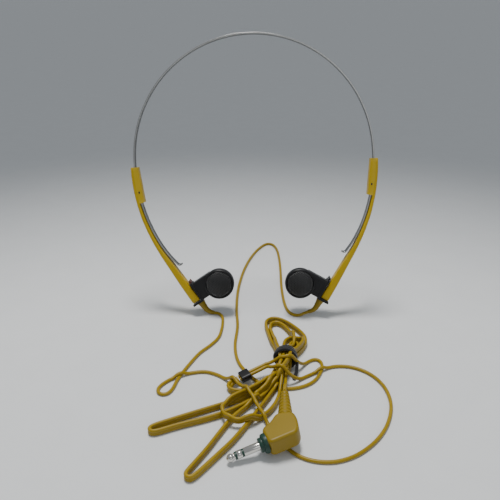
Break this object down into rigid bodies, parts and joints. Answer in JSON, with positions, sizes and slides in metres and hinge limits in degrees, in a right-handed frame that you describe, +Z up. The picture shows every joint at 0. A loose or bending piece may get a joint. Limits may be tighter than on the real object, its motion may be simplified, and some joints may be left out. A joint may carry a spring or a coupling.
{
  "type": "headband earphones",
  "caption": "Steel-band sports earphones with two sliding plastic arms, vertical earbuds, a slim lead tied in a hank and a right-angle 3.5 mm plug.",
  "frame": {"origin": "on the surface that it stands on, under the middle of the headband, arms and earbuds (the lead, hank and plug are not counted)", "axes": "+Z up, +X to the viewer's right when facing the grilles, -Y towards the viewer, where the lead lies"},
  "size_m": [0.1356, 0.2247, 0.1506],
  "materials": {
    "spring_steel": "brushed spring steel, satin",
    "yellow_plastic": "moulded mustard-yellow ABS, satin",
    "black_plastic": "moulded black ABS, satin",
    "grille_metal": "black painted perforated sheet",
    "damper_cloth": "thin black acoustic cloth",
    "driver_metal": "plain",
    "diaphragm_film": "thin clear amber film",
    "copper": "enamelled copper wire",
    "circuit_board": "green laminate",
    "cord_pvc": "soft yellow PVC, satin",
    "elastic": "black covered elastic",
    "nickel": "nickel plate",
    "insulator": "dark moulded plastic"
  },
  "bodies": {
    "root": {"headband": "spring_steel", "cord_left": "cord_pvc", "cord_right": "cord_pvc", "cord_trunk": "cord_pvc", "cord_tail": "cord_pvc", "hank_loops": "cord_pvc", "hank_neck": "cord_pvc", "hank_fan": "cord_pvc", "hank_left_fold": "cord_pvc", "hank_front_fold": "cord_pvc", "cord_tie": "elastic", "plug_body": "cord_pvc", "plug_relief": "cord_pvc", "plug_collar": "insulator", "plug_sleeve": "nickel", "insulator_rear": "insulator", "plug_ring": "nickel", "insulator_front": "insulator", "plug_tip": "nickel"},
    "arm_left": {"arm_left": "yellow_plastic", "band_guide_left": "yellow_plastic", "mount_plate_left": "black_plastic", "neck_left": "black_plastic", "rear_housing_left": "black_plastic", "front_ring_left": "black_plastic", "grille_left": "grille_metal", "damper_cloth_left": "damper_cloth", "driver_frame_left": "driver_metal", "magnet_left": "driver_metal", "yoke_left": "driver_metal", "voice_coil_left": "copper", "diaphragm_left": "diaphragm_film", "terminal_board_left": "circuit_board", "inner_lead_left": "copper", "strain_relief_left": "cord_pvc"},
    "arm_right": {"arm_right": "yellow_plastic", "band_guide_right": "yellow_plastic", "mount_plate_right": "black_plastic", "neck_right": "black_plastic", "rear_housing_right": "black_plastic", "front_ring_right": "black_plastic", "grille_right": "grille_metal", "damper_cloth_right": "damper_cloth", "driver_frame_right": "driver_metal", "magnet_right": "driver_metal", "yoke_right": "driver_metal", "voice_coil_right": "copper", "diaphragm_right": "diaphragm_film", "terminal_board_right": "circuit_board", "inner_lead_right": "copper", "strain_relief_right": "cord_pvc"},
    "slider": {"cord_slider": "black_plastic"}
  },
  "joints": [
    {"name": "arm_left_slide", "type": "hinge", "parent": "root", "child": "arm_left", "pos_m": [0.0261, 0.0032, 0.0864], "axis": [0, -0.9659, 0.2588], "range_deg": [-3.43, 8.72], "deforming": ["cord_left"]},
    {"name": "arm_right_slide", "type": "hinge", "parent": "root", "child": "arm_right", "pos_m": [-0.02641, 0.00189, 0.08152], "axis": [0, 0.9659, -0.2588], "range_deg": [-7.16, 8.72], "deforming": ["cord_right"]},
    {"name": "slider_slide", "type": "slide", "parent": "root", "child": "slider", "axis": [0.8719, 0.4394, 0.2162], "range_m": [0, 0.005]}
  ]
}
